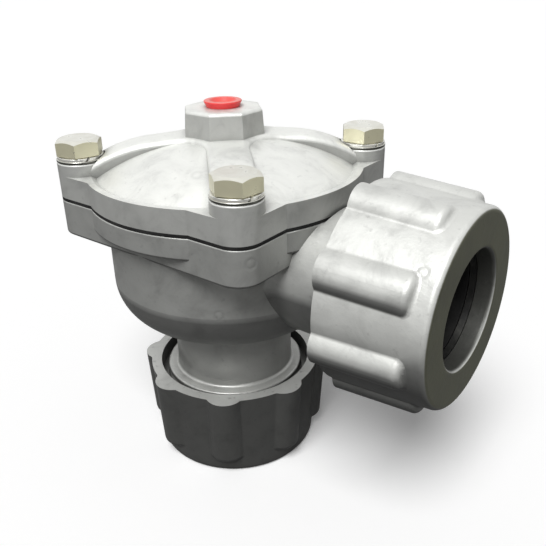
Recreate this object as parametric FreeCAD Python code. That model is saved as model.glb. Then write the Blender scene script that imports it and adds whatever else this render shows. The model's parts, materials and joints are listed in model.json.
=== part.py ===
import FreeCAD, Part
import math
import os

# Right-angle pulse valve for two plain pipes, held by compression nuts.
# Millimetres, +Z up. The origin lies on the upright valve axis where the
# outlet pipe ends against its stop. The side port points along +X.

# Layout
joint_height = 68.0
side_axis_drop = 19.4
side_stop_reach = 58.1

# Pipe, threads and fits
pipe_radius = 16.85
pipe_clearance = 0.3
bore_step = 0.1
thread_major_radius = 25.0
thread_depth = 1.25
thread_clearance = 0.15
running_clearance = 0.05
seal_gap = 0.3

# Reach of a cut past the face it opens, and the slack in finding an edge
past_face = 1.0
match = 0.01

# Flange outline shared by body, diaphragm and bonnet
flange_radius = 45.0
bolt_offset = 32.5
ear_radius = 7.5

# Valve body
flange_thickness = 7.7
ear_depth = 12.1
flange_step = 5.0
bowl_below_duct = 4.0
bowl_foot = 2.9
bowl_wall = 5.0
bowl_floor = 4.5
chamber_corner = 8.0
neck_wall = 3.95
neck_fillet = 1.6
inlet_stop_width = 2.15
duct_to_bonnet = 0.8
duct_blend_radius = 4.5
bowl_lip_fillet = 1.5
body_edge_fillet = 1.0
joint_edge_fillet = 0.5

# Seat nozzle
outlet_stop_width = 2.95
nozzle_wall = 3.2
nozzle_land = 1.4
nozzle_chamfer = 1.6

# Port end
collar_step = 0.1
collar_rise = 1.6
collar_fillet = 0.7
collar_foot_fillet = 1.0
collar_length = 1.6
spigot_length = 19.0
spigot_lip = 1.3
socket_length = 13.5
seal_bearing = 0.15

# Compression nut
nut_length = 32.0
nut_side_wall = 3.85
nut_draft = 3.5
nut_wall = 5.5
nut_lip_fillet = 1.2
nut_face_fillet = 1.8
nut_mouth_step = 2.25
nut_mouth_depth = 6.0
rib_count = 8
rib_radius = 6.5
rib_height = 2.8
rib_band = 5.8
rib_fillet = 1.8
rib_foot_fillet = 1.3
outlet_rib_angle = 57.0
inlet_rib_angle = 17.0

# Slip ring and pipe seal
ring_thickness = 2.0
ring_gap = 0.2
seal_rim = 1.8

# Bonnet
bonnet_rim_height = 7.8
bonnet_ear_height = 11.8
crest_height = 19.6
crest_slope = 0.092
crest_bend_start = 24.0
crest_end_height = 13.3
crest_end_inset = 6.1
ridge_width = 13.2
ridge_fillet = 1.9
pocket_corner = 11.0
pocket_inner_height = 17.4
pocket_inner_radius = 10.0
pocket_dome_height = 13.6
pocket_dome_radius = 28.4
pocket_outer_height = 6.9
rim_width = 3.4
rim_lip = 1.5
bonnet_wall = 3.6
cavity_step = 1.5
bonnet_edge_fillet = 0.7
boss_sides = 8
boss_top_height = 26.4
boss_foot_height = 16.0
boss_top_radius = 12.9
boss_foot_radius = 13.7
boss_edge_fillet = 1.1
spring_pocket_height = 16.5
spring_pocket_gap = 0.6

# Pilot port and plug
port_hole_radius = 4.86
plug_shank_radius = 4.4
plug_shank_tip_radius = 4.1
plug_shank_length = 7.0
plug_rim_radius = 6.2
plug_foot_radius = 5.3
plug_head_height = 2.0
plug_dish_radius = 4.3
plug_dish_depth = 1.1
plug_edge_fillet = 0.3

# Diaphragm and its centre stack
diaphragm_thickness = 1.0
diaphragm_drop = 9.0
fold_to_bonnet = 0.5
fold_to_plate = 1.0
bleed_radius = 0.9
seat_overlap = 0.6
seat_disc_thickness = 3.0
seat_gap = 0.2
upper_plate_radius = 19.5
upper_plate_thickness = 1.5
upper_plate_rim = 1.6
retainer_radius = 11.0
retainer_thickness = 1.2
centre_bolt_radius = 3.0
centre_head_width = 10.0
centre_head_height = 4.0
centre_washer_radius = 6.0
centre_washer_thickness = 1.6
centre_nut_height = 4.5
centre_bolt_end = 1.0
small_chamfer = 0.6

# Return spring
spring_wire_radius = 0.8
spring_mean_radius = 8.6
spring_turns = 6.5
spring_closed_turns = 1.0
spring_points_per_turn = 12
spring_end_gap = 0.05

# Cover bolts and washers
bolt_radius = 4.0
bolt_length = 25.0
bolt_head_width = 13.0
bolt_head_height = 5.3
bolt_head_chamfer = 0.8
bolt_crown_angle = 30.0
bolt_face_radius = 5.9
bolt_face_rise = 0.3
bolt_tip_chamfer = 0.8
bolt_hole_radius = 4.5
bolt_turns = (12.0, 35.0, 23.0, 3.0)
washer_radius = 7.5
washer_thickness = 1.6
washer_gap = 0.3

# Values worked out from the ones above
half_sheet = diaphragm_thickness / 2
socket_radius = pipe_radius + pipe_clearance
neck_radius = socket_radius + neck_wall
flange_half_width = bolt_offset + ear_radius
bowl_radius = flange_radius - flange_step
bowl_corner = bowl_radius - neck_radius - bowl_foot
bowl_depth = side_axis_drop + neck_radius + bowl_below_duct
chamber_radius = bowl_radius - bowl_wall
side_axis_height = joint_height - side_axis_drop
passage_radius = socket_radius - inlet_stop_width
nozzle_bore = socket_radius - outlet_stop_width
nozzle_radius = nozzle_bore + nozzle_wall
collar_radius = thread_major_radius - collar_step
bonnet_cavity_radius = chamber_radius - cavity_step
pocket_outer_radius = flange_radius - rim_width
crest_end_radius = flange_radius - crest_end_inset
fold_outer_radius = bonnet_cavity_radius - fold_to_bonnet
fold_inner_radius = upper_plate_radius + fold_to_plate
seat_disc_radius = nozzle_radius + seat_overlap
seal_bore = socket_radius + bore_step
nut_bore = socket_radius + 2 * bore_step
spigot_radius = thread_major_radius - thread_depth
nut_thread_radius = thread_major_radius + thread_clearance
nut_mouth_radius = nut_thread_radius + nut_mouth_step
nut_face_radius = nut_thread_radius + nut_side_wall
ring_radius = spigot_radius - thread_clearance
ring_outer_end = spigot_length + seal_rim + 2 * seal_gap + ring_thickness
nut_outer_end = ring_outer_end + ring_gap + nut_wall
closed_sheet_height = joint_height - diaphragm_drop
seat_disc_top = closed_sheet_height - half_sheet
seat_disc_bottom = seat_disc_top - seat_disc_thickness
nozzle_top = seat_disc_bottom - seat_gap
plate_top = closed_sheet_height + half_sheet + upper_plate_thickness
bolt_seat_height = joint_height + bonnet_ear_height + washer_thickness
centre_hole = centre_bolt_radius + running_clearance
tilt = math.tan(math.radians(nut_draft))
step = math.radians(45)


def at(x, y, z=0.0):
    return FreeCAD.Vector(x, y, z)


def cylinder(radius, low, high, x=0.0, y=0.0):
    return Part.makeCylinder(radius, high - low, at(x, y, low))


def cone(low_radius, high_radius, low, high):
    return Part.makeCone(low_radius, high_radius, high - low, at(0, 0, low))


def face_from(points):
    corners = [at(*point) for point in points]
    return Part.Face(Part.makePolygon(corners + corners[:1]))


def spun(points):
    # Points are pairs of radius and height
    face = face_from([(radius, 0, height) for radius, height in points])
    return face.revolve(at(0, 0), at(0, 0, 1), 360)


def spun_edges(edges):
    face = Part.Face(Part.Wire(Part.__sortEdges__(edges)))
    return face.revolve(at(0, 0), at(0, 0, 1), 360)


def line(start, end):
    return Part.LineSegment(at(start[0], 0, start[1]), at(end[0], 0, end[1])).toShape()


def arc(start, middle, end):
    places = [at(point[0], 0, point[1]) for point in (start, middle, end)]
    return Part.Arc(*places).toShape()


def polygon(sides, corner_radius, height, turn=0.0):
    angles = [turn + 2 * math.pi * index / sides for index in range(sides)]
    corners = [at(corner_radius * math.cos(a), corner_radius * math.sin(a), height) for a in angles]
    return Part.makePolygon(corners + corners[:1])


def prism(sides, width_across_flats, low, high):
    corner_radius = width_across_flats / 2 / math.cos(math.pi / sides)
    return Part.Face(polygon(sides, corner_radius, low)).extrude(at(0, 0, high - low))


def fused(shapes):
    return shapes[0].multiFuse(shapes[1:]).removeSplitter()


def rounded(shape, radius, wanted):
    edges = [edge for edge in shape.Edges if wanted(edge)]
    return shape.makeFillet(radius, edges)


def around(shape, count, turn=0.0):
    copies = []
    for index in range(count):
        copy = shape.copy()
        copy.rotate(at(0, 0), at(0, 0, 1), turn + 360 * index / count)
        copies.append(copy)
    return copies


def at_bolts(shape, turns=(0.0, 0.0, 0.0, 0.0)):
    places = [(x, y) for x in (-bolt_offset, bolt_offset) for y in (-bolt_offset, bolt_offset)]
    copies = []
    for (x, y), turn in zip(places, turns):
        copy = shape.copy()
        copy.rotate(at(0, 0), at(0, 0, 1), turn)
        copies.append(copy.translated(at(x, y)))
    return copies


# A port is drawn with its pipe stop at zero and its pipe leaving along +Z
def at_outlet(shape):
    moved = shape.copy()
    moved.rotate(at(0, 0), at(1, 0), 180)
    return moved


def at_inlet(shape):
    moved = shape.copy()
    moved.rotate(at(0, 0), at(1, 1, 1), 120)
    moved.translate(at(side_stop_reach, 0, side_axis_height))
    return moved


def is_circle(edge, radius, height):
    if not isinstance(edge.Curve, Part.Circle):
        return False
    return abs(edge.Curve.Radius - radius) < match and abs(edge.Curve.Center.z - height) < match


# Flange outline: a square with round corners, joined to a disc
def rounded_square(low, high, margin=0.0):
    half = flange_half_width + margin
    square = Part.makeBox(2 * half, 2 * half, high - low, at(-half, -half, low))
    return rounded(square, ear_radius + margin, lambda edge: edge.BoundBox.ZLength > (high - low) / 2)


def outline(low, high, margin=0.0):
    return fused([rounded_square(low, high, margin), cylinder(flange_radius + margin, low, high)])


# Valve body, cast in one piece with both spigots and the seat nozzle
def bowl():
    top = joint_height - half_sheet
    bottom = joint_height - bowl_depth
    bend = bowl_corner * (1 - math.cos(step))
    corner_low = (bowl_radius - bowl_corner, bottom)
    corner_mid = (bowl_radius - bend, bottom + bend)
    corner_high = (bowl_radius, bottom + bowl_corner)
    edges = [
        line((0, bottom), corner_low),
        arc(corner_low, corner_mid, corner_high),
        line(corner_high, (bowl_radius, top)),
        line((bowl_radius, top), (0, top)),
        line((0, top), (0, bottom)),
    ]
    return spun_edges(edges)


def chamber():
    top = joint_height
    bottom = joint_height - bowl_depth + bowl_floor
    bend = chamber_corner * (1 - math.cos(step))
    corner_low = (chamber_radius - chamber_corner, bottom)
    corner_mid = (chamber_radius - bend, bottom + bend)
    corner_high = (chamber_radius, bottom + chamber_corner)
    edges = [
        line((0, bottom), corner_low),
        arc(corner_low, corner_mid, corner_high),
        line(corner_high, (chamber_radius, top)),
        line((chamber_radius, top), (0, top)),
        line((0, top), (0, bottom)),
    ]
    return spun_edges(edges)


def spigot(neck_length):
    neck = cylinder(neck_radius, -neck_length, collar_length)
    collar = cylinder(collar_radius, -collar_rise, collar_length - collar_rise)
    collar = rounded(collar, collar_fillet, lambda edge: is_circle(edge, collar_radius, -collar_rise))
    threaded = cylinder(spigot_radius, -collar_rise, spigot_length)
    end = fused([neck, collar, threaded])
    return rounded(end, collar_foot_fillet, lambda edge: is_circle(edge, neck_radius, -collar_rise))


def duct_blend():
    # A concave ring, as a ball leaves it that rolls around the duct on the bowl
    centre = (neck_radius + duct_blend_radius, 0)
    reach = math.sqrt((bowl_radius + duct_blend_radius) ** 2 - centre[0] ** 2)
    share = bowl_radius / (bowl_radius + duct_blend_radius)
    centre = (centre[0], reach - side_stop_reach)
    on_bowl = (centre[0] * share, reach * share - side_stop_reach)
    half_turn = math.atan2(reach, centre[0]) / 2
    mid_out = centre[0] - duct_blend_radius * math.cos(half_turn)
    middle = (mid_out, centre[1] - duct_blend_radius * math.sin(half_turn))
    on_duct = (neck_radius, centre[1])
    inner = nozzle_radius - side_stop_reach
    return spun_edges([
        arc(on_duct, middle, on_bowl),
        line(on_bowl, (on_bowl[0], inner)),
        line((on_bowl[0], inner), (0, inner)),
        line((0, inner), (0, centre[1])),
        line((0, centre[1]), on_duct),
    ])


def socket():
    mouth_radius = spigot_radius - spigot_lip
    pipe_room = cylinder(socket_radius, 0, socket_length)
    seal_room = cone(socket_radius, mouth_radius, socket_length, spigot_length)
    return fused([pipe_room, seal_room])


def nozzle():
    floor = joint_height - bowl_depth
    lip_inner = nozzle_radius - nozzle_chamfer - nozzle_land
    points = [
        (nozzle_bore, floor),
        (nozzle_radius, floor),
        (nozzle_radius, nozzle_top - nozzle_chamfer),
        (lip_inner + nozzle_land, nozzle_top),
        (lip_inner, nozzle_top),
        (nozzle_bore, nozzle_top - nozzle_chamfer),
    ]
    return spun(points)


def valve_body():
    top = joint_height - half_sheet
    square_low = joint_height - ear_depth
    ring_low = joint_height - flange_thickness
    bowl_low = joint_height - bowl_depth
    square = rounded_square(square_low, top)
    square = rounded(square, body_edge_fillet, lambda edge: edge.BoundBox.ZMax < square_low + match)
    ring = cylinder(flange_radius, ring_low, top)
    ring = rounded(ring, body_edge_fillet, lambda edge: is_circle(edge, flange_radius, ring_low))
    flange = rounded(fused([square, ring]), joint_edge_fillet, lambda edge: edge.BoundBox.ZMin > top - match)
    outlet_neck = at_outlet(spigot(bowl_low + bowl_corner))
    inlet_neck = at_inlet(spigot(side_stop_reach - nozzle_radius))
    casting = fused([flange, bowl(), outlet_neck, inlet_neck, at_inlet(duct_blend())])
    casting = rounded(casting, neck_fillet, lambda edge: is_circle(edge, neck_radius, bowl_low))
    bonnet_room = outline(top, joint_height + bonnet_rim_height, duct_to_bonnet)
    casting = casting.cut(bonnet_room)
    side_passage = cylinder(passage_radius, nozzle_radius - side_stop_reach, socket_length)
    inlet_room = at_inlet(fused([side_passage, socket()]))
    casting = casting.cut(Part.makeCompound([chamber(), inlet_room]))
    casting = rounded(casting, bowl_lip_fillet, lambda edge: is_circle(edge, chamber_radius, top))
    casting = fused([casting, nozzle()])
    outlet_bore = cylinder(nozzle_bore, 0, nozzle_top)
    casting = casting.cut(Part.makeCompound([outlet_bore, at_outlet(socket())]))
    holes = at_bolts(cylinder(bolt_radius + running_clearance, 0, joint_height))
    return casting.cut(Part.makeCompound(holes))


# Bonnet with ridges to its ears, fan-shaped pockets and an eight-sided boss
def ridge_plan(low, high):
    reach = math.hypot(bolt_offset, bolt_offset)
    bar = Part.makeBox(2 * reach, ridge_width, high - low, at(-reach, -ridge_width / 2, low))
    bars = fused(around(bar, 4, 45)[:2])
    inner = ridge_width / 2 * math.sqrt(2)

    def is_arch(edge):
        middle = edge.CenterOfMass
        upright = edge.BoundBox.ZLength > (high - low) / 2
        return upright and abs(math.hypot(middle.x, middle.y) - inner) < match

    return rounded(bars, pocket_corner, is_arch)


def crest():
    # A shallow cone that bends down smoothly into the ears
    foot = crest_height - crest_slope * crest_bend_start
    lean = math.atan(crest_slope)
    run = crest_end_radius - crest_bend_start
    drop = foot - crest_end_height
    depth = drop * math.cos(lean) - run * math.sin(lean)
    bend = (run * run + drop * drop) / (2 * depth)
    centre = (crest_bend_start - bend * math.sin(lean), foot - bend * math.cos(lean))

    def on_bend(radius):
        return radius, centre[1] + math.sqrt(bend * bend - (radius - centre[0]) ** 2)

    start = (crest_bend_start, foot)
    end = on_bend(flange_radius)
    edges = [
        line((0, 0), (0, crest_height)),
        line((0, crest_height), start),
        arc(start, on_bend(crest_end_radius), end),
        line(end, (flange_radius, 0)),
        line((flange_radius, 0), (0, 0)),
    ]
    return spun_edges(edges)


def is_ridge_edge(edge):
    # The upper edges along the ridges and arches, but not their ends
    middle = edge.CenterOfMass
    on_top = edge.BoundBox.ZMin > bonnet_rim_height
    return on_top and math.hypot(middle.x, middle.y) < crest_end_radius


def boss():
    turn = math.pi / boss_sides
    foot = polygon(boss_sides, boss_foot_radius, boss_foot_height, turn)
    top = polygon(boss_sides, boss_top_radius, boss_top_height, turn)
    block = Part.makeLoft([foot, top], True, True)
    return rounded(block, boss_edge_fillet, lambda edge: edge.BoundBox.ZMin > boss_top_height - match)


def bonnet():
    far = 2 * flange_radius
    pocket_start = (pocket_inner_radius, pocket_inner_height)
    pocket_end = (pocket_outer_radius, pocket_outer_height)
    lip_start = (pocket_outer_radius + rim_lip, bonnet_rim_height)
    pocket_floor = spun_edges([
        line((0, half_sheet), (0, pocket_inner_height)),
        line((0, pocket_inner_height), pocket_start),
        arc(pocket_start, (pocket_dome_radius, pocket_dome_height), pocket_end),
        line(pocket_end, lip_start),
        line(lip_start, (far, bonnet_rim_height)),
        line((far, bonnet_rim_height), (far, half_sheet)),
        line((far, half_sheet), (0, half_sheet)),
    ])
    shell = outline(half_sheet, crest_height).common(pocket_floor)
    ridges = ridge_plan(half_sheet, crest_height + past_face).common(crest())
    ridges = rounded(ridges, ridge_fillet, is_ridge_edge)
    washer_room = cylinder(washer_radius + washer_gap, bonnet_ear_height, crest_height)
    ridges = ridges.cut(Part.makeCompound(at_bolts(washer_room)))
    pad = cylinder(ear_radius, half_sheet, bonnet_ear_height)
    pad = rounded(pad, bonnet_edge_fillet, lambda edge: is_circle(edge, ear_radius, bonnet_ear_height))
    cover = fused([shell, ridges, boss()] + at_bolts(pad))
    pocket_radius = spring_mean_radius + spring_wire_radius + spring_pocket_gap
    slope = (pocket_inner_height - pocket_outer_height) / (pocket_outer_radius - pocket_inner_radius)
    edge_ceiling = pocket_outer_height + slope * (pocket_outer_radius - bonnet_cavity_radius) - bonnet_wall
    cavity = spun([
        (0, 0),
        (bonnet_cavity_radius, 0),
        (bonnet_cavity_radius, edge_ceiling),
        (pocket_radius, pocket_inner_height - bonnet_wall),
        (pocket_radius, spring_pocket_height),
        (0, spring_pocket_height),
    ])
    port = cylinder(port_hole_radius, 0, boss_top_height + past_face)
    holes = at_bolts(cylinder(bolt_hole_radius, 0, bonnet_ear_height + past_face))
    cover = cover.cut(Part.makeCompound([cavity]))
    cover = cover.cut(Part.makeCompound([port] + holes))
    return cover.translated(at(0, 0, joint_height))


# Compression nut; a rib is a round bar laid along the nut's tapered side
def rib():
    inner_end = nut_outer_end - nut_length
    outer_end = nut_outer_end - rib_band
    tip_radius = nut_face_radius + tilt * nut_length + rib_height
    start = at(tip_radius - rib_radius + tilt * past_face, 0, inner_end - past_face)
    bar = Part.makeCylinder(rib_radius, nut_length, start, at(-tilt, 0, 1))
    bar = bar.common(cylinder(2 * nut_face_radius, inner_end, outer_end))
    return rounded(bar, rib_fillet, lambda edge: edge.BoundBox.ZMin > outer_end - match)


def is_rib_foot(edge):
    # An edge that ends on the nut's tapered side, short of the plain band
    box = edge.BoundBox
    in_band = box.ZMax > nut_outer_end - rib_band + match
    on_end = box.ZMax < nut_outer_end - nut_length + match
    if in_band or on_end:
        return False
    misses = []
    for vertex in edge.Vertexes:
        side_radius = nut_face_radius + tilt * (nut_outer_end - vertex.Z)
        misses.append(abs(math.hypot(vertex.X, vertex.Y) - side_radius))
    return max(misses) < match


def compression_nut(first_rib_angle):
    inner_end = nut_outer_end - nut_length
    shell = cone(nut_face_radius + tilt * nut_length, nut_face_radius, inner_end, nut_outer_end)
    shell = rounded(shell, nut_face_fillet, lambda edge: is_circle(edge, nut_face_radius, nut_outer_end))
    shell = fused([shell] + around(rib(), rib_count, first_rib_angle))
    shell = rounded(shell, rib_foot_fillet, is_rib_foot)
    mouth = cylinder(nut_mouth_radius, inner_end, inner_end + nut_mouth_depth)
    thread_room = cylinder(nut_thread_radius, inner_end, nut_outer_end - nut_wall)
    bore = cylinder(nut_bore, inner_end, nut_outer_end)
    shell = shell.cut(fused([mouth, thread_room, bore]))
    return rounded(shell, nut_lip_fillet, lambda edge: is_circle(edge, nut_bore, nut_outer_end))


# Slip ring between nut and seal, and the tapered seal in the spigot's mouth
def slip_ring():
    ring = cylinder(ring_radius, ring_outer_end - ring_thickness, ring_outer_end)
    return ring.cut(cylinder(nut_bore, 0, nut_outer_end))


def pipe_seal():
    mouth_radius = spigot_radius - spigot_lip
    taper = (mouth_radius - socket_radius) / (spigot_length - socket_length)
    low_radius = seal_bore + seal_rim
    low = socket_length + (low_radius - socket_radius + seal_bearing) / taper
    seat_radius = mouth_radius - seal_bearing
    top = spigot_length + seal_gap + seal_rim
    points = [
        (seal_bore, low),
        (low_radius, low),
        (seat_radius, spigot_length),
        (seat_radius, spigot_length + seal_gap),
        (ring_radius, spigot_length + seal_gap),
        (ring_radius, top),
        (seal_bore, top),
    ]
    return spun(points)


# Pilot port plug with a flared, dished head
def pilot_plug():
    base = joint_height + boss_top_height
    top = base + plug_head_height
    head = cone(plug_foot_radius, plug_rim_radius, base, top)
    head = rounded(head, plug_edge_fillet, lambda edge: is_circle(edge, plug_rim_radius, top))
    dish = cone(plug_dish_radius - plug_dish_depth, plug_dish_radius, top - plug_dish_depth, top)
    shank = cone(plug_shank_tip_radius, plug_shank_radius, base - plug_shank_length, base)
    return fused([head, shank]).cut(dish)


# Diaphragm: a flat clamped rim, one fold and a flat centre
def fold_face():
    width = (fold_outer_radius - fold_inner_radius) / 2
    height = diaphragm_drop / 2
    bend = (width * width + height * height) / (2 * height)
    half_turn = math.asin(width / bend) / 2
    high = joint_height
    low = closed_sheet_height
    middle = (fold_inner_radius + width, low + height)
    high_centre = (fold_outer_radius, high - bend)
    low_centre = (fold_inner_radius, low + bend)

    def sheet_side(side):
        high_bend = bend + side
        low_bend = bend - side
        lean = math.sin(2 * half_turn)
        rise = math.cos(2 * half_turn)
        join = (middle[0] - side * lean, middle[1] + side * rise)
        half_lean = math.sin(half_turn)
        half_rise = math.cos(half_turn)
        high_mid = (high_centre[0] - high_bend * half_lean, high_centre[1] + high_bend * half_rise)
        low_mid = (low_centre[0] + low_bend * half_lean, low_centre[1] - low_bend * half_rise)
        start = (fold_outer_radius, high + side)
        end = (fold_inner_radius, low + side)
        return arc(start, high_mid, join), arc(join, low_mid, end), start, end

    upper_a, upper_b, upper_start, upper_end = sheet_side(half_sheet)
    lower_a, lower_b, lower_start, lower_end = sheet_side(-half_sheet)
    centre_high = (centre_hole, low + half_sheet)
    centre_low = (centre_hole, low - half_sheet)
    edges = [
        upper_a,
        upper_b,
        line(upper_end, centre_high),
        line(centre_high, centre_low),
        line(centre_low, lower_end),
        lower_b,
        lower_a,
        line(lower_start, upper_start),
    ]
    return edges


def diaphragm():
    rim = outline(joint_height - half_sheet, joint_height + half_sheet)
    rim = rim.cut(cylinder(fold_outer_radius, 0, 2 * joint_height))
    sheet = fused([rim, spun_edges(fold_face())])
    holes = at_bolts(cylinder(bolt_hole_radius, 0, 2 * joint_height))
    bleed = cylinder(bleed_radius, 0, 2 * joint_height, (fold_outer_radius + fold_inner_radius) / 2, 0)
    return sheet.cut(Part.makeCompound(holes + [bleed]))


# Centre stack carried by the diaphragm
def seat_disc():
    disc = cylinder(seat_disc_radius, seat_disc_bottom, seat_disc_top)
    disc = rounded(disc, small_chamfer, lambda edge: is_circle(edge, seat_disc_radius, seat_disc_bottom))
    return disc.cut(cylinder(centre_hole, 0, joint_height))


def upper_plate():
    low = closed_sheet_height + half_sheet
    rim_inner = upper_plate_radius - upper_plate_thickness
    points = [
        (centre_hole, low),
        (upper_plate_radius - small_chamfer, low),
        (upper_plate_radius, low + small_chamfer),
        (upper_plate_radius, plate_top + upper_plate_rim),
        (rim_inner, plate_top + upper_plate_rim),
        (rim_inner, plate_top),
        (centre_hole, plate_top),
    ]
    return spun(points)


def lower_retainer():
    low = seat_disc_bottom - retainer_thickness
    disc = cylinder(retainer_radius, low, seat_disc_bottom)
    disc = rounded(disc, small_chamfer, lambda edge: is_circle(edge, retainer_radius, low))
    return disc.cut(cylinder(centre_hole, 0, joint_height))


def centre_bolt():
    head_top = seat_disc_bottom - retainer_thickness
    head = prism(6, centre_head_width, head_top - centre_head_height, head_top)
    tip = plate_top + centre_washer_thickness + centre_nut_height + centre_bolt_end
    shank = cylinder(centre_bolt_radius, head_top, tip)
    tip_edges = [edge for edge in shank.Edges if is_circle(edge, centre_bolt_radius, tip)]
    shank = shank.makeChamfer(small_chamfer, tip_edges)
    return fused([head, shank])


def centre_washer():
    washer = cylinder(centre_washer_radius, plate_top, plate_top + centre_washer_thickness)
    return washer.cut(cylinder(centre_hole, 0, 2 * joint_height))


def centre_nut():
    low = plate_top + centre_washer_thickness
    nut = prism(6, centre_head_width, low, low + centre_nut_height)
    return nut.cut(cylinder(centre_hole, 0, 2 * joint_height))


# Return spring with closed ends, from the upper plate to the bonnet
def return_spring():
    low = plate_top + spring_wire_radius + spring_end_gap
    high = joint_height + spring_pocket_height - spring_wire_radius - spring_end_gap
    closed_rise = 2 * spring_wire_radius + spring_end_gap
    open_turns = spring_turns - 2 * spring_closed_turns
    open_rise = high - low - 2 * closed_rise * spring_closed_turns

    def height_after(turns):
        if turns < spring_closed_turns:
            return low + closed_rise * turns
        if turns > spring_turns - spring_closed_turns:
            return high - closed_rise * (spring_turns - turns)
        open_now = turns - spring_closed_turns
        return low + closed_rise * spring_closed_turns + open_rise * open_now / open_turns

    points = []
    for index in range(int(spring_turns * spring_points_per_turn) + 1):
        turns = index / spring_points_per_turn
        angle = 2 * math.pi * turns
        x = spring_mean_radius * math.cos(angle)
        y = spring_mean_radius * math.sin(angle)
        points.append(at(x, y, height_after(turns)))
    curve = Part.BSplineCurve()
    curve.interpolate(points)
    path = Part.Wire(curve.toShape())
    start_direction = curve.tangent(curve.FirstParameter)[0]
    section = Part.Wire(Part.makeCircle(spring_wire_radius, points[0], start_direction))
    return path.makePipeShell([section], True, True)


# Cover bolts and their washers
def cover_bolt():
    head_top = bolt_seat_height + bolt_head_height
    corner_radius = bolt_head_width / 2 / math.cos(math.pi / 6)
    head = prism(6, bolt_head_width, bolt_seat_height + bolt_face_rise, head_top)
    crown_radius = bolt_head_width / 2 - bolt_head_chamfer
    crown_low = head_top - (corner_radius - crown_radius) * math.tan(math.radians(bolt_crown_angle))
    crown = cone(corner_radius, crown_radius, crown_low, head_top)
    head = head.common(fused([crown, cylinder(corner_radius, bolt_seat_height, crown_low)]))
    face = cylinder(bolt_face_radius, bolt_seat_height, bolt_seat_height + bolt_face_rise)
    tip = bolt_seat_height - bolt_length
    shank = cylinder(bolt_radius, tip, bolt_seat_height)
    shank = shank.makeChamfer(bolt_tip_chamfer, [e for e in shank.Edges if is_circle(e, bolt_radius, tip)])
    return fused([head, face, shank])


def bolt_washer():
    low = joint_height + bonnet_ear_height
    washer = cylinder(washer_radius, low, bolt_seat_height)
    return washer.cut(cylinder(bolt_hole_radius, low, bolt_seat_height))


nodes = {
    "valve_body": [valve_body()],
    "bonnet": [bonnet()],
    "diaphragm": [diaphragm()],
    "seat_disc": [seat_disc()],
    "upper_plate": [upper_plate()],
    "lower_retainer": [lower_retainer()],
    "centre_bolt": [centre_bolt()],
    "centre_washer": [centre_washer()],
    "centre_nut": [centre_nut()],
    "return_spring": [return_spring()],
    "cover_bolts": at_bolts(cover_bolt(), bolt_turns),
    "bolt_washers": at_bolts(bolt_washer()),
    "pilot_plug": [pilot_plug()],
    "outlet_nut": [at_outlet(compression_nut(outlet_rib_angle))],
    "outlet_slip_ring": [at_outlet(slip_ring())],
    "outlet_seal": [at_outlet(pipe_seal())],
    "inlet_nut": [at_inlet(compression_nut(inlet_rib_angle))],
    "inlet_slip_ring": [at_inlet(slip_ring())],
    "inlet_seal": [at_inlet(pipe_seal())],
}

os.makedirs("parts", exist_ok=True)
for name, solids in nodes.items():
    shape = solids[0] if len(solids) == 1 else Part.makeCompound(solids)
    shape.exportStep("parts/" + name + ".step")
    state = "valid" if shape.isValid() else "INVALID"
    print(name, len(shape.Solids), state, round(shape.Volume, 1))
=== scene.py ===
import json
import math

import bmesh
import bpy
from mathutils import Matrix, Vector


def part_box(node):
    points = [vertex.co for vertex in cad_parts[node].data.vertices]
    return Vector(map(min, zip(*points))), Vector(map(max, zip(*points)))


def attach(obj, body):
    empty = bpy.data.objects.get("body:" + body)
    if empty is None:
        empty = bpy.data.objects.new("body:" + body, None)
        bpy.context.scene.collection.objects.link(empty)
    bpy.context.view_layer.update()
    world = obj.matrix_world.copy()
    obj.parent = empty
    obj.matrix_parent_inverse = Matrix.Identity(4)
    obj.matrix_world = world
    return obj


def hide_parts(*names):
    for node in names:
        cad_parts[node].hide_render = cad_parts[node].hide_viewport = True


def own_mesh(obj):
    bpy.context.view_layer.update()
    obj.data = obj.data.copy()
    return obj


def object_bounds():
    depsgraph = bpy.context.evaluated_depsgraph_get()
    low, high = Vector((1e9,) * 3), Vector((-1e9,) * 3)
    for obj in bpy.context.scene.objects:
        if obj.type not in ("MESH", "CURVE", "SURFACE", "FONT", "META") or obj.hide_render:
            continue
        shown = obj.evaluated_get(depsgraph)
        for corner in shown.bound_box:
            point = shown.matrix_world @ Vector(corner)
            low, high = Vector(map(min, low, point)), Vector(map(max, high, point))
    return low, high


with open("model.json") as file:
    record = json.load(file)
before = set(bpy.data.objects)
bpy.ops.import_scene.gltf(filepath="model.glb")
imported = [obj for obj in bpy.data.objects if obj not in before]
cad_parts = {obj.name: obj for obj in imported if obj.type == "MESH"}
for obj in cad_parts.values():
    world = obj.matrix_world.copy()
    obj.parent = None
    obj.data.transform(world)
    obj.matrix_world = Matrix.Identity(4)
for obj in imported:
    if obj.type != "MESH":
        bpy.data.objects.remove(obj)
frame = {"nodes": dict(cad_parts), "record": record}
cad_low, cad_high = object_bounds()
record = frame["record"]
nodes = frame["nodes"]

# Metres, in the row frame: +Z up the valve axis, the side port along +X
MM = 0.001
mounts = {mount["name"]: mount for mount in record["mounts"]}
side_port = Vector(mounts["inlet_pipe"]["pos_m"])

# What turns a piece drawn along +Z from the origin to its port: down, or out along +X
upright_to_side = Matrix.Rotation(math.radians(120), 4, Vector((1, 1, 1)))
port_turns = {
    "outlet": Matrix.Rotation(math.pi, 4, "X"),
    "inlet": Matrix.Translation(side_port) @ upright_to_side,
}

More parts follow.
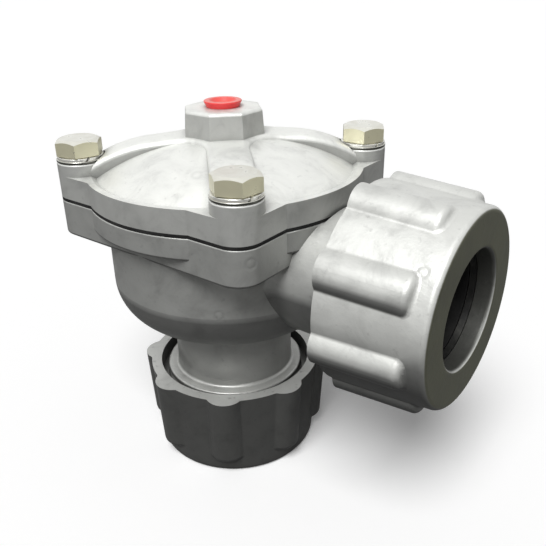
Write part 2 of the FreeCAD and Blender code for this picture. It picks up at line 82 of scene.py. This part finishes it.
# Threads, meshed with half a pitch between them
thread_pitch = 2.0 * MM
thread_steps = 48
thread_run_out = 0.6
thread_least_height = 0.02
thread_root_width = 1.45 * MM
thread_crest_width = 0.35 * MM
thread_sink = 0.05 * MM
spigot_root_radius = 23.75 * MM
spigot_crest_radius = 24.95 * MM
spigot_thread_start = 1.2 * MM
spigot_thread_end = 17.8 * MM
nut_root_radius = 25.15 * MM
nut_crest_radius = 24.0 * MM
nut_thread_start = 4.4 * MM
nut_thread_end = 19.0 * MM

# Flat washer and split lock washer, together as thick as the washer they stand for
washer_radius = 7.5 * MM
washer_bore_radius = 4.4 * MM
flat_washer_share = 0.45
lock_washer_radius = 7.2 * MM
lock_split = 0.9 * MM
split_turn = math.radians(-20)
washer_edge = 0.12 * MM
washer_steps = 64

# Rounded edges of the rubber pieces, and how their meshes are cleaned first
sheet_edge = 0.3 * MM
seat_edge = 0.2 * MM
seal_edge = 0.25 * MM
edge_steps = 3
weld_distance = 0.001 * MM
flat_angle = math.radians(0.5)
sharp_angle = math.radians(40)

# Cast metal: scales of its patterns per metre, and depths of its bumps
cloud_scale = 85.0
speck_scale = 420.0
cast_grain_scale = 1800.0
cloud_depth = 0.14 * MM
speck_depth = 0.06 * MM
cast_grain_depth = 0.02 * MM
# Painted shade: the dark grey laid into corners and pin-mark grooves, and how far the corner shading
# reaches
painted_shade_grey = (0.05, 0.05, 0.045)
corner_reach = 5 * MM

# Marks of ejector pins
mark_radius = 1.35 * MM
mark_depth = 0.08 * MM
# Share of painted shade at the bottom of each pin mark's groove
mark_shade_share = 0.1

# The side nut's end face is painted dark olive and its bore near black, both painted shade, with soft
# borders
nut_end_depth = 1.5 * MM
nut_end_shade = (0.13, 0.133, 0.092)
nut_end_fade = 0.1 * MM
nut_bore_radius = 17.35 * MM
nut_bore_margin = 0.05 * MM
nut_bore_shade = (0.09, 0.091, 0.083)
nut_bore_fade = 0.4 * MM

# Camera, fitted to the photograph
camera_place = Vector((0.1390, -0.1546, 0.1352))
camera_azimuth = math.radians(37.857)
camera_elevation = math.radians(25.707)
camera_roll = math.radians(-1.056)
camera_lens = 42.58
camera_sensor = 36.0


# Node material helpers
def new_material(name):
    material = bpy.data.materials.new(name)
    material.use_nodes = True
    tree = material.node_tree
    shader = tree.nodes["Principled BSDF"]
    place = tree.nodes.new("ShaderNodeTexCoord").outputs["Object"]
    return material, tree, shader, place


def noise(tree, place, scale, detail=4.0, roughness=0.55, distortion=0.0):
    node = tree.nodes.new("ShaderNodeTexNoise")
    node.inputs["Scale"].default_value = scale
    node.inputs["Detail"].default_value = detail
    node.inputs["Roughness"].default_value = roughness
    node.inputs["Distortion"].default_value = distortion
    tree.links.new(place, node.inputs["Vector"])
    return node.outputs["Fac"]


def spread(tree, value, low, high, to_low, to_high):
    node = tree.nodes.new("ShaderNodeMapRange")
    node.inputs["From Min"].default_value = low
    node.inputs["From Max"].default_value = high
    node.inputs["To Min"].default_value = to_low
    node.inputs["To Max"].default_value = to_high
    tree.links.new(value, node.inputs["Value"])
    return node.outputs["Result"]


def ramp(tree, value, stops):
    node = tree.nodes.new("ShaderNodeValToRGB")
    elements = node.color_ramp.elements
    while len(elements) < len(stops):
        elements.new(0.5)
    for element, (position, colour) in zip(elements, stops):
        element.position = position
        element.color = (*colour, 1.0)
    tree.links.new(value, node.inputs["Fac"])
    return node.outputs["Color"]


def mixed(tree, share, first, second, blend="MIX"):
    node = tree.nodes.new("ShaderNodeMix")
    node.data_type = "RGBA"
    node.blend_type = blend
    sockets = [socket for socket in node.inputs if socket.type == "RGBA"]
    if isinstance(share, float):
        node.inputs["Factor"].default_value = share
    else:
        tree.links.new(share, node.inputs["Factor"])
    for socket, value in zip(sockets, (first, second)):
        if isinstance(value, tuple):
            socket.default_value = (*value, 1.0)
        else:
            tree.links.new(value, socket)
    return [socket for socket in node.outputs if socket.type == "RGBA"][0]


def bumped(tree, shader, heights):
    # Heights are pairs of value and depth in metres, stacked on one another
    normal = None
    for value, depth in heights:
        node = tree.nodes.new("ShaderNodeBump")
        node.inputs["Strength"].default_value = 1.0
        node.inputs["Distance"].default_value = depth
        tree.links.new(value, node.inputs["Height"])
        if normal is not None:
            tree.links.new(normal, node.inputs["Normal"])
        normal = node.outputs["Normal"]
    tree.links.new(normal, shader.inputs["Normal"])


def scaled_colour(colour, factor):
    return tuple(min(1.0, channel * factor) for channel in colour)


def axis_part(tree, vector, axis):
    node = tree.nodes.new("ShaderNodeSeparateXYZ")
    tree.links.new(vector, node.inputs["Vector"])
    return node.outputs[axis]


def facing(tree, axis):
    # Zero where the surface faces down the axis, one where it faces up it
    normal = tree.nodes.new("ShaderNodeTexCoord").outputs["Normal"]
    return spread(tree, axis_part(tree, normal, axis), -1.0, 1.0, 0.0, 1.0)


def product(tree, first, second):
    node = tree.nodes.new("ShaderNodeMath")
    node.operation = "MULTIPLY"
    tree.links.new(first, node.inputs[0])
    tree.links.new(second, node.inputs[1])
    return node.outputs["Value"]


def distance_from(tree, place, centre, across):
    # Distance to a point, or to a line where one part of across is zero
    flat = tree.nodes.new("ShaderNodeVectorMath")
    flat.operation = "MULTIPLY"
    tree.links.new(place, flat.inputs[0])
    flat.inputs[1].default_value = across
    node = tree.nodes.new("ShaderNodeVectorMath")
    node.operation = "DISTANCE"
    tree.links.new(flat.outputs["Vector"], node.inputs[0])
    node.inputs[1].default_value = [part * share for part, share in zip(centre, across)]
    return node.outputs["Value"]


def pin_mark(tree, place, mark):
    # The shallow round groove that an ejector pin leaves: one outside it, zero at its bottom
    centre, across, radius = mark
    distance = spread(tree, distance_from(tree, place, centre, across), 0.0, 2 * radius, 0.0, 1.0)
    return ramp(tree, distance, [(0.2, (1.0,) * 3), (0.5, (0.0,) * 3), (0.8, (1.0,) * 3)])


# Die-cast metal with painted light and shade: lighter where it faces up and darker where it faces down,
# with faint clouds, fine grain and painted shade in the corners
def cast_metal(
    name, shaded_tones, roughness, metallic, corner_shade_share=0.6, speckle=0.35, ends=(), bores=(), marks=()
):
    material, tree, shader, place = new_material(name)
    clouds = noise(tree, place, cloud_scale, detail=5.0, roughness=0.65, distortion=0.5)
    specks = noise(tree, place, speck_scale, detail=3.0, roughness=0.6)
    grain = noise(tree, place, cast_grain_scale, detail=2.0)
    # Painted light and shade: the ramp runs from the tone of faces turned down to that of faces turned
    # up
    base = ramp(tree, facing(tree, "Z"), shaded_tones)
    # Painted shade: end faces turned out along their axis are darkened to the given colour
    for axis, plane, colour in ends:
        beyond = spread(tree, axis_part(tree, place, axis), plane - nut_end_fade, plane, 0.0, 1.0)
        outward = spread(tree, facing(tree, axis), 0.9, 0.96, 0.0, 1.0)
        base = mixed(tree, product(tree, beyond, outward), base, colour)
    # Painted shade: inside the bore radius the colour turns near black
    for centre, across, radius, colour in bores:
        reach = distance_from(tree, place, centre, across)
        within = spread(tree, reach, radius, radius + nut_bore_fade, 1.0, 0.0)
        base = mixed(tree, within, base, colour)
    cloud_tone = ramp(tree, clouds, [(0.3, (0.74,) * 3), (0.5, (0.92,) * 3), (0.72, (1.0,) * 3)])
    base = mixed(tree, 1.0, base, cloud_tone, "MULTIPLY")
    speck_share = spread(tree, specks, 0.62, 0.8, 0.0, speckle)
    base = mixed(tree, speck_share, base, scaled_colour(shaded_tones[1][1], 0.6))
    # Painted shade in corners and recesses, from ambient occlusion
    corner = tree.nodes.new("ShaderNodeAmbientOcclusion")
    corner.inputs["Distance"].default_value = corner_reach
    corner.samples = 6
    corner_share = spread(tree, corner.outputs["AO"], 0.35, 0.85, corner_shade_share, 0.0)
    base = mixed(tree, corner_share, base, painted_shade_grey)
    heights = [(clouds, cloud_depth), (specks, speck_depth), (grain, cast_grain_depth)]
    # Each pin mark's groove is bumped, and its bottom is painted darker as painted shade
    for mark in marks:
        groove = pin_mark(tree, place, mark)
        heights.append((groove, mark_depth))
        base = mixed(tree, spread(tree, groove, 0.0, 1.0, mark_shade_share, 0.0), base, painted_shade_grey)
    tree.links.new(base, shader.inputs["Base Color"])
    dullness = spread(tree, clouds, 0.3, 0.7, roughness - 0.06, roughness + 0.08)
    tree.links.new(dullness, shader.inputs["Roughness"])
    shader.inputs["Metallic"].default_value = metallic
    bumped(tree, shader, heights)
    return material


# Plated steel whose sides may be painted darker than its top, as painted shade
def plated_metal(name, colour, tint, roughness, side=None, metallic=1.0):
    material, tree, shader, place = new_material(name)
    patches = noise(tree, place, scale=160.0, detail=4.0, roughness=0.6, distortion=0.6)
    grain = noise(tree, place, scale=2200.0, detail=2.0)
    base = ramp(tree, patches, [(0.35, colour), (0.7, tint)])
    # Painted light and shade: faces turned up keep the top colours, faces turned sideways and down take
    # the side colour
    if side is not None:
        base = mixed(tree, spread(tree, facing(tree, "Z"), 0.6, 0.95, 0.0, 1.0), side, base)
    tree.links.new(base, shader.inputs["Base Color"])
    dullness = spread(tree, patches, 0.3, 0.7, roughness - 0.05, roughness + 0.08)
    tree.links.new(dullness, shader.inputs["Roughness"])
    shader.inputs["Metallic"].default_value = metallic
    bumped(tree, shader, [(patches, 0.05 * MM), (grain, 0.012 * MM)])
    return material


# Rubber and plastic, with a little dust and a top that may be painted paler, as painted light
def moulded(
    name, colour, roughness, grain_depth=0.02 * MM, dust=(0.3, 0.3, 0.28), dust_share=0.08,
    lit_top=None, shine=0.5
):
    material, tree, shader, place = new_material(name)
    patches = noise(tree, place, scale=120.0, detail=4.0)
    grain = noise(tree, place, scale=1500.0, detail=3.0)
    share = spread(tree, patches, 0.45, 0.8, 0.0, dust_share)
    base = mixed(tree, share, colour, dust)
    # Painted light: faces turned up take the paler top colour
    if lit_top is not None:
        base = mixed(tree, spread(tree, facing(tree, "Z"), 0.7, 0.97, 0.0, 1.0), base, lit_top)
    tree.links.new(base, shader.inputs["Base Color"])
    dullness = spread(tree, patches, 0.3, 0.7, roughness - 0.06, roughness + 0.06)
    tree.links.new(dullness, shader.inputs["Roughness"])
    shader.inputs["Specular IOR Level"].default_value = shine
    bumped(tree, shader, [(grain, grain_depth)])
    return material


def set_material(piece, material):
    piece.data.materials.clear()
    piece.data.materials.append(material)
    for face in piece.data.polygons:
        face.material_index = 0


def dress(node_name, material):
    piece = nodes[node_name]
    if not piece.material_slots:
        piece.data.materials.append(material)
    for material_slot in piece.material_slots:
        material_slot.material = material


# Mesh helpers
def new_piece(name, mesh, material, body):
    piece = bpy.data.objects.new(name, mesh)
    bpy.context.scene.collection.objects.link(piece)
    set_material(piece, material)
    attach(piece, body)
    return piece


def mesh_from(bm, name, smooth_angle):
    bmesh.ops.recalc_face_normals(bm, faces=bm.faces)
    mesh = bpy.data.meshes.new(name)
    bm.to_mesh(mesh)
    bm.free()
    mesh.shade_smooth()
    mesh.set_sharp_from_angle(angle=math.radians(smooth_angle))
    return mesh


def softened_copy(node_name, name, edge):
    # The soft solid's own form, welded and with its edges rounded
    bm = bmesh.new()
    bm.from_mesh(nodes[node_name].data)
    bmesh.ops.remove_doubles(bm, verts=bm.verts, dist=weld_distance)
    bmesh.ops.dissolve_limit(bm, angle_limit=flat_angle, verts=bm.verts, edges=bm.edges)
    paired = [item for item in bm.edges if len(item.link_faces) == 2]
    sharp = [item for item in paired if item.calc_face_angle() > sharp_angle]
    bmesh.ops.bevel(
        bm, geom=sharp, offset=edge, segments=edge_steps, profile=0.5, affect="EDGES", clamp_overlap=True
    )
    return mesh_from(bm, name, smooth_angle=35)


def skin(bm, rows):
    # Faces from row to row, capped at both ends unless the rows close up
    for near, far in zip(rows, rows[1:]):
        for side in range(len(near)):
            after = (side + 1) % len(near)
            bm.faces.new((near[side], near[after], far[after], far[side]))
    if rows[0] is not rows[-1]:
        bm.faces.new(rows[0])
        bm.faces.new(rows[-1])


def thread_ridge(name, root_radius, crest_radius, start, end, shift):
    # One closed helical ridge that fades out at both ends
    count = round((end - start) / thread_pitch * thread_steps)
    sink = thread_sink if crest_radius < root_radius else -thread_sink
    bm = bmesh.new()
    rows = []
    for index in range(count + 1):
        turns = index / thread_steps
        rise = start + turns * thread_pitch
        angle = 2 * math.pi * (rise - shift) / thread_pitch
        fade = min(1.0, turns / thread_run_out, (count - index) / thread_steps / thread_run_out)
        crest = root_radius + (crest_radius - root_radius) * max(fade, thread_least_height)
        profile = [
            (root_radius + sink, rise - thread_root_width / 2),
            (crest, rise - thread_crest_width / 2),
            (crest, rise + thread_crest_width / 2),
            (root_radius + sink, rise + thread_root_width / 2),
        ]
        sine, cosine = math.sin(angle), math.cos(angle)
        rows.append([bm.verts.new((reach * cosine, reach * sine, height)) for reach, height in profile])
    skin(bm, rows)
    return mesh_from(bm, name, smooth_angle=30)


def washer_rings(name, centres, radius, low, high, split=0.0):
    # Flat rings, or split ones whose ends lean like those of a lock washer
    edge = washer_edge
    profile = [(washer_bore_radius, low), (radius - edge, low), (radius, low + edge)]
    profile += [(radius, high - edge), (radius - edge, high), (washer_bore_radius, high)]
    sweep = 2 * math.pi - split / radius
    bm = bmesh.new()
    for centre in centres:
        rows = []
        for index in range(washer_steps + (1 if split else 0)):
            row = []
            for reach, rise in profile:
                lean = split / reach * (rise - low) / (high - low)
                angle = split_turn + sweep * index / washer_steps + lean
                x = centre.x + reach * math.cos(angle)
                y = centre.y + reach * math.sin(angle)
                row.append(bm.verts.new((x, y, rise)))
            rows.append(row)
        if not split:
            rows.append(rows[0])
        skin(bm, rows)
    return mesh_from(bm, name, smooth_angle=35)


# Materials
def greys(*stops):
    # Stops of a ramp as places and tones, in greys with a trace of green
    return [(position, (tone, tone * 1.01, tone * 0.97)) for position, tone in stops]


# Distances are taken from a point, or from a line along X or Z
from_point = (1.0, 1.0, 1.0)
from_x_line = (0.0, 1.0, 1.0)
from_z_line = (1.0, 1.0, 0.0)
body_marks = [
    (Vector((39.27, -35.7, 63.3)) * MM, from_point, mark_radius),
    (Vector((23.42, -32.41, 40.76)) * MM, from_point, mark_radius),
]
bonnet_marks = [(Vector((13.0, -27.0, 0.0)) * MM, from_z_line, mark_radius)]
side_nut_marks = [(Vector((81.59, -22.41, 67.53)) * MM, from_point, mark_radius)]
side_nut_end_shade = [("X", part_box("inlet_nut")[1].x - nut_end_depth, nut_end_shade)]
side_nut_bore_shade = [(side_port, from_x_line, nut_bore_radius + nut_bore_margin, nut_bore_shade)]

# Painted light and shade: each ramp gives the tones of faces turned down, sideways and up
body_shaded_tones = greys((0.2, 0.18), (0.44, 0.155), (0.51, 0.44), (0.8, 0.64))
bonnet_shaded_tones = greys((0.15, 0.3), (0.51, 0.52), (0.68, 0.83), (0.85, 0.9))
side_nut_shaded_tones = greys((0.25, 0.08), (0.42, 0.26), (0.52, 0.62), (0.62, 0.72))
lower_nut_shaded_tones = greys((0.12, 0.03), (0.5, 0.11), (0.9, 0.58))
body_metal = cast_metal("body_metal", body_shaded_tones, roughness=0.4, metallic=0.4, marks=body_marks)
bonnet_metal = cast_metal(
    "bonnet_metal", bonnet_shaded_tones, roughness=0.42, metallic=0.35, marks=bonnet_marks
)
side_nut_metal = cast_metal(
    "side_nut_metal", side_nut_shaded_tones, roughness=0.46, metallic=0.45,
    ends=side_nut_end_shade, bores=side_nut_bore_shade, marks=side_nut_marks
)
lower_nut_metal = cast_metal(
    "lower_nut_metal", lower_nut_shaded_tones, roughness=0.36, metallic=0.4, speckle=0.6
)
# Bolt heads: yellow plating on the sides, tops painted paler as painted light
bolt_metal = plated_metal(
    "bolt_metal", (0.78, 0.78, 0.72), (0.68, 0.67, 0.6),
    roughness=0.3, side=(0.68, 0.65, 0.47), metallic=0.45
)
lock_washer_metal = plated_metal(
    "lock_washer_metal", (0.80, 0.80, 0.76), (0.72, 0.71, 0.66), roughness=0.28, metallic=0.6
)
# Flat washers: sides painted near black as painted shade under the pale tops
washer_metal = plated_metal(
    "washer_metal", (0.74, 0.74, 0.70), (0.66, 0.65, 0.6), roughness=0.3, side=(0.12, 0.12, 0.105)
)
inner_steel = plated_metal("inner_steel", (0.56, 0.56, 0.55), (0.62, 0.61, 0.58), roughness=0.33)
# Slip rings: painted shade, near black for the shade inside the nut mouths
ring_steel = plated_metal("ring_steel", (0.10, 0.10, 0.10), (0.14, 0.14, 0.13), roughness=0.4)
spring_steel = plated_metal("spring_steel", (0.42, 0.42, 0.43), (0.5, 0.5, 0.5), roughness=0.28)
black_rubber = moulded("black_rubber", (0.008, 0.008, 0.008), roughness=0.75, shine=0.25)
seal_rubber = moulded("seal_rubber", (0.012, 0.012, 0.012), roughness=0.65, shine=0.15)
# Pilot plug: red, with the top painted paler as painted light
plug_plastic = moulded(
    "plug_plastic", (0.95, 0.05, 0.055), roughness=0.36, grain_depth=0.012 * MM,
    dust=(0.95, 0.1, 0.1), dust_share=0.2, lit_top=(0.86, 0.18, 0.15)
)

dress("valve_body", body_metal)
dress("bonnet", bonnet_metal)
dress("inlet_nut", side_nut_metal)
dress("outlet_nut", lower_nut_metal)
dress("cover_bolts", bolt_metal)
dress("pilot_plug", plug_plastic)
for node_name in ("upper_plate", "lower_retainer", "centre_bolt", "centre_washer", "centre_nut"):
    dress(node_name, inner_steel)
for node_name in ("outlet_slip_ring", "inlet_slip_ring"):
    dress(node_name, ring_steel)

sheet_mesh = softened_copy("diaphragm", "diaphragm_sheet", sheet_edge)
diaphragm = new_piece("diaphragm_sheet", sheet_mesh, black_rubber, "valve")
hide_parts("diaphragm")
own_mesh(diaphragm)

spring_mesh = nodes["return_spring"].data.copy()
spring = new_piece("spring_wire", spring_mesh, spring_steel, "valve")
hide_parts("return_spring")
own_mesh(spring)

seat_mesh = softened_copy("seat_disc", "seat_rubber", seat_edge)
seat = new_piece("seat_rubber", seat_mesh, black_rubber, "lift")
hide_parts("seat_disc")
for port in port_turns:
    name = port + "_seal_ring"
    mesh = softened_copy(port + "_seal", name, seal_edge)
    seal = new_piece(name, mesh, seal_rubber, "valve")
    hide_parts(port + "_seal")

# A flat and a split washer under each bolt head
washers_low, washers_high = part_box("bolt_washers")
bolt_offset = washers_high.x - washer_radius
bolt_sides = (-bolt_offset, bolt_offset)
bolt_places = [Vector((x, y, 0)) for x in bolt_sides for y in bolt_sides]
washer_step = washers_low.z + flat_washer_share * (washers_high.z - washers_low.z)
flat_mesh = washer_rings("flat_washers", bolt_places, washer_radius, washers_low.z, washer_step)
flat_washers = new_piece("flat_washers", flat_mesh, washer_metal, "valve")
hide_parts("bolt_washers")
lock_mesh = washer_rings(
    "lock_washers", bolt_places, lock_washer_radius, washer_step, washers_high.z, lock_split
)
lock_washers = new_piece("lock_washers", lock_mesh, lock_washer_metal, "valve")
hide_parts("bolt_washers")

# Threads on both spigots and in both nuts
nut_metals = {"outlet": lower_nut_metal, "inlet": side_nut_metal}
for port, turn in port_turns.items():
    name = port + "_spigot_thread"
    mesh = thread_ridge(
        name, spigot_root_radius, spigot_crest_radius, spigot_thread_start, spigot_thread_end, 0.0
    )
    mesh.transform(turn)
    new_piece(name, mesh, body_metal, "valve")
    name = port + "_nut_thread"
    mesh = thread_ridge(
        name, nut_root_radius, nut_crest_radius, nut_thread_start, nut_thread_end, thread_pitch / 2
    )
    mesh.transform(turn)
    new_piece(name, mesh, nut_metals[port], port + "_nut")


# Floor, world and lamp
def ray_share(tree, *kinds):
    # One for rays of these kinds, zero for the rest
    rays = tree.nodes.new("ShaderNodeLightPath")
    share = rays.outputs[kinds[0]]
    for kind in kinds[1:]:
        node = tree.nodes.new("ShaderNodeMath")
        node.operation = "MAXIMUM"
        tree.links.new(share, node.inputs[0])
        tree.links.new(rays.outputs[kind], node.inputs[1])
        share = node.outputs["Value"]
    return share


# The camera sees a white floor, and the object is lit by a grey one
floor_half = 6.0
floor_pale = (1.0, 1.0, 1.0)
floor_grey = (0.24, 0.24, 0.24)
floor_glow = 0.08
floor_mesh = bpy.data.meshes.new("floor")
floor_corners = [(-floor_half, -floor_half, 0), (floor_half, -floor_half, 0)]
floor_corners += [(floor_half, floor_half, 0), (-floor_half, floor_half, 0)]
floor_mesh.from_pydata(floor_corners, [], [(0, 1, 2, 3)])
floor = bpy.data.objects.new("floor", floor_mesh)
floor.location.z = cad_low.z
bpy.context.scene.collection.objects.link(floor)
floor_material, tree, shader, place = new_material("floor_paint")
seen = ray_share(tree, "Is Camera Ray")
tree.links.new(mixed(tree, seen, floor_grey, floor_pale), shader.inputs["Base Color"])
tree.links.new(spread(tree, seen, 0.0, 1.0, 0.0, floor_glow), shader.inputs["Emission Strength"])
shader.inputs["Emission Color"].default_value = (1.0, 1.0, 1.0, 1.0)
shader.inputs["Roughness"].default_value = 0.9
shader.inputs["Specular IOR Level"].default_value = 0.0
set_material(floor, floor_material)

# The world is white to the camera and to reflections, and lights the object less
world = bpy.data.worlds.new("studio")
bpy.context.scene.world = world
world.use_nodes = True
tree = world.node_tree
background = tree.nodes["Background"]
world_light = 0.22
seen = ray_share(tree, "Is Camera Ray", "Is Glossy Ray", "Is Transmission Ray")
tree.links.new(spread(tree, seen, 0.0, 1.0, world_light, 1.0), background.inputs["Strength"])
background.inputs["Color"].default_value = (1.0, 1.0, 1.0, 1.0)

# One broad lamp above and a little to the left of the camera
key_from = Vector((0.22, -0.62, 0.95))
key_angle = math.radians(32)
key_energy = 2.7
key_data = bpy.data.lights.new("key_light", "SUN")
key_data.angle = key_angle
key_data.energy = key_energy
key = bpy.data.objects.new("key_light", key_data)
key.rotation_mode = "QUATERNION"
key.rotation_quaternion = key_from.to_track_quat("Z", "Y")
bpy.context.scene.collection.objects.link(key)

# Camera
camera_data = bpy.data.cameras.new("camera")
camera_data.lens = camera_lens
camera_data.sensor_width = camera_sensor
camera = bpy.data.objects.new("camera", camera_data)
bpy.context.scene.collection.objects.link(camera)
sine, cosine = math.sin(camera_azimuth), math.cos(camera_azimuth)
right = Vector((cosine, sine, 0))
level = math.cos(camera_elevation)
back = Vector((sine * level, -cosine * level, math.sin(camera_elevation)))
turn = Matrix((right, back.cross(right), back)).transposed().to_4x4()
roll = Matrix.Rotation(camera_roll, 4, "Z")
camera.matrix_world = Matrix.Translation(camera_place) @ turn @ roll
bpy.context.scene.camera = camera
bpy.context.scene.view_settings.view_transform = "Standard"
